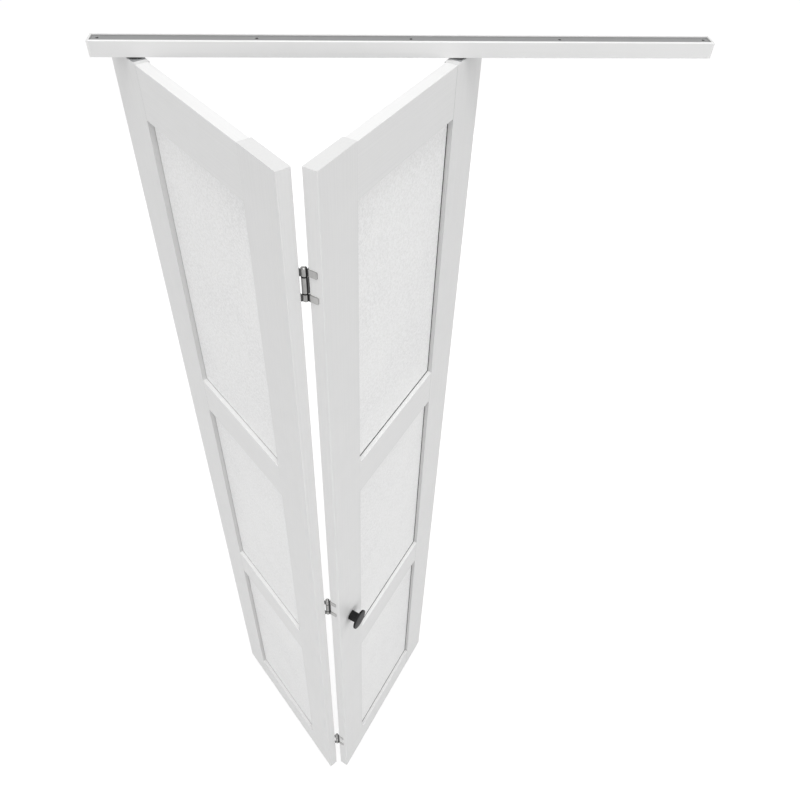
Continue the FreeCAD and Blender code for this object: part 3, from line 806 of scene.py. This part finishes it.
def island_boxes(name, panel):
    """The box of each separate part of a node, in panel coordinates."""
    shape = bmesh.new()
    shape.from_mesh(nodes[name].data)
    bmesh.ops.remove_doubles(shape, verts=shape.verts, dist=SAME_POINT)
    to_panel = PANEL_FRAMES[panel].inverted()
    left = set(shape.verts)
    boxes = []
    while left:
        reached = [left.pop()]
        for vert in reached:
            for edge in vert.link_edges:
                other = edge.other_vert(vert)
                if other in left:
                    left.remove(other)
                    reached.append(other)
        boxes.append(box_of([to_panel @ vert.co for vert in reached]))
    shape.free()
    return sorted(boxes, key=lambda box: (round(box[0].z, 4), round(box[0].x, 4)))


def head_place(panel, low, high, turn):
    """Where a screw's head is and which way it faces, for the screw that fills this box."""
    size = high - low
    centre = (low + high) / 2
    upright = size.z > size.y
    spot = Vector((centre.x, centre.y, high.z) if upright else (centre.x, high.y, centre.z))
    facing = PANEL_FRAMES[panel].to_3x3() @ Vector((0, 0, 1) if upright else (0, 1, 0))
    turned = facing.to_track_quat("Z", "Y").to_matrix().to_4x4() @ Matrix.Rotation(turn, 4, "Z")
    return Matrix.Translation(PANEL_FRAMES[panel] @ spot) @ turned


screw_boxes = {panel: island_boxes(f"{panel}_screws", panel) for panel in PANEL_FRAMES}
for panel, boxes in screw_boxes.items():
    print(f"{len(boxes)} plain wood screws in the {panel}")


# %% [markdown]
# A stamp copies a pattern to each place and joins the copies into one piece, which rides on the
# panel and stands for the plain node. No two screws ever stop at the same angle, so each gets a
# turn of its own.

# %% Stamp the screws
FIRST_TURN = 0.7             # radians
NEXT_TURN = 2.4
KNOB_SCREW_TURN = 0.4


def stamped(name, pattern, places, body, node):
    """One piece with a copy of the pattern at each place, which stands for a plain node."""
    whole = bmesh.new()
    for place in places:
        copy = pattern.copy()
        copy.transform(place)
        whole.from_mesh(copy)
        bpy.data.meshes.remove(copy)
    mesh = bpy.data.meshes.new(name)
    whole.to_mesh(mesh)
    whole.free()
    mesh.materials.append(ZINC)
    piece = bpy.data.objects.new(name, mesh)
    bpy.context.scene.collection.objects.link(piece)
    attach(piece, body)
    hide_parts(node)
    print(f"{name}: {len(places)} places, {len(mesh.polygons)} faces")


for panel, boxes in screw_boxes.items():
    turns = [FIRST_TURN + NEXT_TURN * index for index in range(len(boxes))]
    places = [head_place(panel, *box, turn) for box, turn in zip(boxes, turns)]
    stamped(f"{panel}_cross_screws", WOOD_SCREW, places, panel, f"{panel}_screws")
knob_box = island_boxes("knob_screw", "guide_panel")[0]
knob_place = head_place("guide_panel", *knob_box, KNOB_SCREW_TURN)
stamped("knob_pan_screw", PAN_SCREW, [knob_place], "guide_panel", "knob_screw")
pivot_place = Matrix.Translation((JOINTS["pivot"].x, 0, PANEL_BASE))
stamped("bottom_pivot_threaded", THREADED_PIVOT, [pivot_place], "pivot_panel", "bottom_pivot_pin")


# %% [markdown]
# ## Wound springs
# Two springs hold the pins up into the track, and a pin that is pushed down shortens its spring.
# Each is wound again here as a coil in place of the plain piece. The end turns are closed, as on
# every compression spring that stands on a flat seat.

# %% Wind a spring
SPRING_TURNS = 7
WIRE = 0.55 * MM             # half the wire's thickness
CLOSED_RISE = 2.1 * WIRE     # a closed turn rises by just more than the wire's thickness
TURN_STEPS = 24
WIRE_SIDES = 10


def wound(low, high):
    """A compression spring that fills the box, with its first and last turns closed."""
    centre = (low + high) / 2
    radius = (high.x - low.x) / 2 - WIRE
    open_rise = (high.z - low.z - 2 * WIRE - 2 * CLOSED_RISE) / (SPRING_TURNS - 2)
    shape = bmesh.new()
    rings = []
    for step in range(SPRING_TURNS * TURN_STEPS + 1):
        turn = step / TURN_STEPS
        rise = CLOSED_RISE * min(turn, 1.0) + CLOSED_RISE * max(turn - SPRING_TURNS + 1, 0.0)
        rise += open_rise * min(max(turn - 1.0, 0.0), SPRING_TURNS - 2.0)
        angle = 2 * math.pi * turn
        around = []
        for side in range(WIRE_SIDES):
            bend = 2 * math.pi * side / WIRE_SIDES
            out = radius + WIRE * math.cos(bend)
            height = low.z + WIRE + rise + WIRE * math.sin(bend)
            spot = (centre.x + out * math.cos(angle), centre.y + out * math.sin(angle), height)
            around.append(shape.verts.new(spot))
        rings.append(around)
    join_rings(shape, rings)
    shape.faces.new(rings[0])
    shape.faces.new(rings[-1])
    return shape


# %% [markdown]
# Each spring fills the box of the plain one, so it still stands in its sleeve and reaches its pin.

# %% Wind the springs in place of the plain ones
SPRINGS = (
    ("top_pivot_spring", "pivot_panel", "pivot_pin"),
    ("guide_spring", "guide_panel", "guide_pin"),
)

for node, panel, pin in SPRINGS:
    low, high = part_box(node)
    mesh = finished_mesh(wound(low, high), f"{node}_wound", sharp=60)
    mesh.materials.append(ZINC)
    spring = bpy.data.objects.new(f"{node}_wound", mesh)
    bpy.context.scene.collection.objects.link(spring)
    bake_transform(spring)
    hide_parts(node)
    print(f"{node}: {SPRING_TURNS} turns in {(high.z - low.z) / MM:.1f} mm")


# %% [markdown]
# ## The head track
# The track is painted where it shows in the room and bare inside: the recessed web that is screwed
# to the header and the channel that the wheel runs in are left as they come from the die. The bare
# metal is kept dark, partly for its own grey and partly as painted shade inside the channel. One
# shader can't be both metal and paint over one mesh without a mask, and here the mask is simply
# where a point lies in the section, so it is worked out from the piece's own coordinates: between
# the beads and above the web, or inside the channel. The beads' tops get a painted highlight, so
# they are brighter than the walls.

# %% Track
BEAD_INNER = 10.75 * MM      # inner faces of the beads from the track's middle plane
CHANNEL_HALF = 12.25 * MM    # inner faces of the walls
WEB_UNDER = -2.0 * MM
LIP_TOP = -19.8 * MM
SKIN = 0.05 * MM             # how far past a face the mask reaches
BEAD_ARRIS = 0.55 * MM       # where the beads' rounded tops begin
COAT = ((0.73, 0.73, 0.728), (0.75, 0.75, 0.748))
# Painted highlight on the beads' tops.
BEAD_HIGHLIGHT = (0.89, 0.89, 0.888)
# Bare metal kept dark: partly its own grey, partly painted shade inside the channel.
MILL_AND_SHADE = ((0.225, 0.227, 0.229), (0.352, 0.354, 0.356))    # bare metal, in and between die lines
BARE_METALLIC = 0.85
DIE_LINES = (0.02, 1.0, 1.0)     # they run the length of the track
DIE_LINE_SCALE = 1800.0
DIE_LINE_DEPTH = 2e-6
TRACK_ROUGHNESS = (0.30, 0.46)


def track_finish():
    material, tree, shader = new_finish("track_paint_and_bare_metal")
    place = place_of(tree)
    axes = along_axes(tree, place)
    across = math_node(tree, "ABSOLUTE", axes["Y"])
    walls = math_node(tree, "LESS_THAN", across, CHANNEL_HALF + SKIN)
    depth = within(tree, axes["Z"], LIP_TOP - SKIN, WEB_UNDER + SKIN)
    inside = math_node(tree, "MULTIPLY", walls, depth)
    web = math_node(tree, "LESS_THAN", across, BEAD_INNER - SKIN)
    upper = math_node(tree, "GREATER_THAN", axes["Z"], WEB_UNDER - SKIN)
    bare = math_node(tree, "MAXIMUM", inside, math_node(tree, "MULTIPLY", web, upper))
    lines = noise(tree, place_of(tree, DIE_LINES), DIE_LINE_SCALE, detail=4.0)
    drift = spread(tree, noise(tree, place, DRIFT_SCALE), 0.0, 1.0)
    beads = math_node(tree, "GREATER_THAN", axes["Z"], BEAD_ARRIS)
    # Painted highlight on the beads' tops.
    coat = blend(tree, beads, blend(tree, drift, *COAT), BEAD_HIGHLIGHT)
    # Bare metal, dark enough to paint the shade inside the channel.
    mill_and_shade = blend(tree, spread(tree, lines, 0.0, 1.0), *MILL_AND_SHADE)
    tree.links.new(blend(tree, bare, coat, mill_and_shade), shader.inputs["Base Color"])
    tree.links.new(math_node(tree, "MULTIPLY", bare, BARE_METALLIC), shader.inputs["Metallic"])
    tree.links.new(spread(tree, lines, *TRACK_ROUGHNESS), shader.inputs["Roughness"])
    bump(tree, shader, lines, DIE_LINE_DEPTH)
    return material


finish_nodes(track_finish(), "track_channel")


# %% [markdown]
# ## Plastics
# The end caps, the guide wheel and the hinges' washers are injection moulded, so they carry the
# fine even grain of a spark-eroded mould. The caps are the door's white; the wheel is nylon, which
# is a little creamier and lets some light under its skin; the washers are black.

# %% Caps, wheel and washers
MOULD_GRAIN_SCALE = 2600.0
MOULD_GRAIN_DEPTH = 6e-6
MOULD_ROUGHNESS = (0.42, 0.56)
FLOW_SCALE = 60.0            # faint clouds from the way the plastic flowed
FLOW_DIM = 0.96
SKIN_DEPTH = 1.5 * MM        # how far light wanders under the wheel's skin


def moulded(name, colour, under_skin=0.0, gloss=0.5):
    material, tree, shader = new_finish(name)
    place = place_of(tree)
    grain = noise(tree, place, MOULD_GRAIN_SCALE, detail=2.0)
    flow = spread(tree, noise(tree, place, FLOW_SCALE), 0.0, 1.0)
    darker = tuple(FLOW_DIM * channel for channel in colour)
    tree.links.new(blend(tree, flow, darker, colour), shader.inputs["Base Color"])
    tree.links.new(spread(tree, grain, *MOULD_ROUGHNESS), shader.inputs["Roughness"])
    shader.inputs["Specular IOR Level"].default_value = gloss
    shader.inputs["Subsurface Weight"].default_value = under_skin
    shader.inputs["Subsurface Scale"].default_value = SKIN_DEPTH
    bump(tree, shader, grain, MOULD_GRAIN_DEPTH)
    return material


finish_nodes(moulded("cap_plastic", (0.79, 0.79, 0.785)), *nodes_named("track_cap_"))
finish_nodes(moulded("wheel_nylon", (0.74, 0.73, 0.69), under_skin=0.2), "guide_wheel")
# The washers' black also paints the shade in the gaps between the knuckles.
finish_nodes(moulded("black_nylon", (0.006, 0.006, 0.006), gloss=0.12), "hinge_washers")


# %% [markdown]
# ## The black knob
# The knob is turned metal under a matt black powder coat. Powder melts into a fine pimpled skin,
# rougher than paint. The face of the disc gets a painted highlight, which makes it a little greyer.
# A distance from the panel's front is enough to find that face.

# %% Knob
KNOB_FACE = 24.6 * MM        # the disc's face stands this far off the panel's front
POWDER = ((0.006, 0.006, 0.0065), (0.014, 0.014, 0.0145))
DISC_FACE_HIGHLIGHT = (0.038, 0.038, 0.039)
PIMPLE_SCALE = 1400.0
PIMPLE_DEPTH = 1.2e-5
RUB_SCALE = 70.0
POWDER_ROUGHNESS = (0.46, 0.58)
POWDER_GLOSS = 0.18


def powder_coat():
    material, tree, shader = new_finish("black_powder_coat")
    place = panel_place(tree, "guide_panel")
    pimple = noise(tree, place, PIMPLE_SCALE, detail=2.0)
    rubbed = spread(tree, noise(tree, place, RUB_SCALE, detail=4.0), 0.0, 1.0)
    coat = blend(tree, rubbed, *POWDER)
    # Painted highlight on the disc's face.
    front = math_node(tree, "LESS_THAN", along_axes(tree, place)["Y"], -KNOB_FACE)
    tree.links.new(blend(tree, front, coat, DISC_FACE_HIGHLIGHT), shader.inputs["Base Color"])
    shader.inputs["Specular IOR Level"].default_value = POWDER_GLOSS
    rough = spread(tree, rubbed, *POWDER_ROUGHNESS, 0.0, 1.0)
    tree.links.new(rough, shader.inputs["Roughness"])
    bump(tree, shader, pimple, PIMPLE_DEPTH)
    return material


finish_nodes(powder_coat(), "knob")


# %% [markdown]
# ## Studio
# The door stands in an even white studio. A white room lit brightly enough to look white would
# wash out a white door, so what is seen and what gives light are kept apart: the camera, and
# whatever mirrors and glass show, gets plain white, while the door is lit by a dimmer world.

# %% World
WORLD_FILL = 0.745           # strength of the world as a source of light


def looked_at(tree):
    """A mask that is 1 for what the camera sees, directly, mirrored or through glass."""
    path = tree.nodes.new("ShaderNodeLightPath")
    seen = math_node(tree, "MAXIMUM", path.outputs["Is Camera Ray"], path.outputs["Is Glossy Ray"])
    return math_node(tree, "MAXIMUM", seen, path.outputs["Is Transmission Ray"])


def studio_world():
    world = bpy.data.worlds.new("studio")
    bpy.context.scene.world = world
    world.use_nodes = True
    tree = world.node_tree
    tree.nodes.clear()
    background = tree.nodes.new("ShaderNodeBackground")
    background.inputs["Color"].default_value = (1.0, 1.0, 1.0, 1.0)
    strength = spread(tree, looked_at(tree), WORLD_FILL, 1.0, 0.0, 1.0)
    tree.links.new(strength, background.inputs["Strength"])
    output = tree.nodes.new("ShaderNodeOutputWorld")
    tree.links.new(background.outputs[0], output.inputs["Surface"])


studio_world()
print(f"the world lights the door at {WORLD_FILL} of plain white")


# %% [markdown]
# The floor is a plain pale sheet under the door's feet, large enough to reach the horizon from any
# side. It glows just enough to look white, and keeps the door's shadow.

# %% Floor
FLOOR_SIZE = 60.0
FLOOR_GREY = (0.35, 0.35, 0.35)      # as a surface that throws light back at the door
FLOOR_SEEN = (0.30, 0.30, 0.30)      # as the camera sees it, under its glow
FLOOR_GLOW = 0.78


def studio_floor(level):
    mesh = bpy.data.meshes.new("studio_floor")
    shape = bmesh.new()
    bmesh.ops.create_grid(shape, x_segments=2, y_segments=2, size=FLOOR_SIZE / 2)
    shape.to_mesh(mesh)
    shape.free()
    floor = bpy.data.objects.new("studio_floor", mesh)
    floor.location = (0, 0, level)
    bpy.context.scene.collection.objects.link(floor)
    material, tree, shader = new_finish("studio_floor")
    shader.inputs["Roughness"].default_value = 1.0
    shader.inputs["Specular IOR Level"].default_value = 0.0
    seen = looked_at(tree)
    tree.links.new(blend(tree, seen, FLOOR_GREY, FLOOR_SEEN), shader.inputs["Base Color"])
    shader.inputs["Emission Color"].default_value = (1.0, 1.0, 1.0, 1.0)
    glow = math_node(tree, "MULTIPLY", seen, FLOOR_GLOW)
    tree.links.new(glow, shader.inputs["Emission Strength"])
    mesh.materials.append(material)


studio_floor(cad_box[0].z)
print(f"floor at {cad_box[0].z / MM:.1f} mm")


# %% [markdown]
# Soft lamps give the shapes their shading. A large one overhead makes level faces the brightest,
# weaker ones stand right, left and in front, so that the knob throws a soft shadow, and a last one
# behind keeps the backs of the panels from going dull. Large discs are used because small lamps
# would throw hard shadows and hot spots on the satin paint.

# %% Lamps
middle = tuple((cad_box[0] + cad_box[1]) / 2)
LAMPS = {                    # place, target, width in metres, power in watts
    "overhead_lamp": ((0.0, -1.5, 4.5), (0.0, 0.0, -1.0), 2.0, 80.0),
    "right_lamp": ((3.0, -3.5, -0.2), middle, 1.6, 37.0),
    "left_lamp": ((-3.5, -3.0, -0.2), middle, 1.6, 30.0),
    "front_lamp": ((0.0, -4.0, -0.2), middle, 2.5, 16.5),
    "back_lamp": ((0.3, 3.8, -1.0), middle, 2.5, 32.0),
}


def soft_lamp(name, place, target, size, power):
    lamp = bpy.data.lights.new(name, "AREA")
    lamp.shape = "DISK"
    lamp.size = size
    lamp.energy = power
    holder = bpy.data.objects.new(name, lamp)
    holder.location = place
    aim = Vector(target) - Vector(place)
    holder.rotation_euler = aim.to_track_quat("-Z", "Y").to_euler()
    holder.visible_camera = False
    bpy.context.scene.collection.objects.link(holder)


for name, setting in LAMPS.items():
    soft_lamp(name, *setting)
print(f"{len(LAMPS)} lamps, {sum(setting[3] for setting in LAMPS.values())} W together")


# %% [markdown]
# ## Camera
# The camera hangs a little above the track and looks down steeply, which is why the panels taper
# towards the floor. Its lens, tilt and small lens shift were worked out once, from the door's
# known edges.

# %% Camera
LENS = 33.687                # millimetres
SENSOR = 36.0
SHIFT = (-0.00705, -0.04389)
CAMERA_PLACE = (-0.12173, -1.11247, 0.42360)
CAMERA_YAW = math.radians(-7.13)
CAMERA_PITCH = math.radians(-44.244)
CAMERA_ROLL = math.radians(3.0114)
LEVEL_VIEW = math.radians(90)    # a camera that isn't turned looks straight down

camera = bpy.data.objects.new("camera", bpy.data.cameras.new("camera"))
camera.data.lens = LENS
camera.data.sensor_width = SENSOR
camera.data.shift_x, camera.data.shift_y = SHIFT
camera.data.clip_start = 0.01
camera.data.clip_end = 200.0
camera.matrix_world = (
    Matrix.Translation(CAMERA_PLACE)
    @ Matrix.Rotation(CAMERA_YAW, 4, "Z")
    @ Matrix.Rotation(LEVEL_VIEW + CAMERA_PITCH, 4, "X")
    @ Matrix.Rotation(CAMERA_ROLL, 4, "Z")
)
bpy.context.scene.collection.objects.link(camera)
bpy.context.scene.camera = camera
bpy.context.scene.view_settings.view_transform = "Standard"
print(f"lens {LENS} mm, looking down by {-math.degrees(CAMERA_PITCH):.1f} degrees")
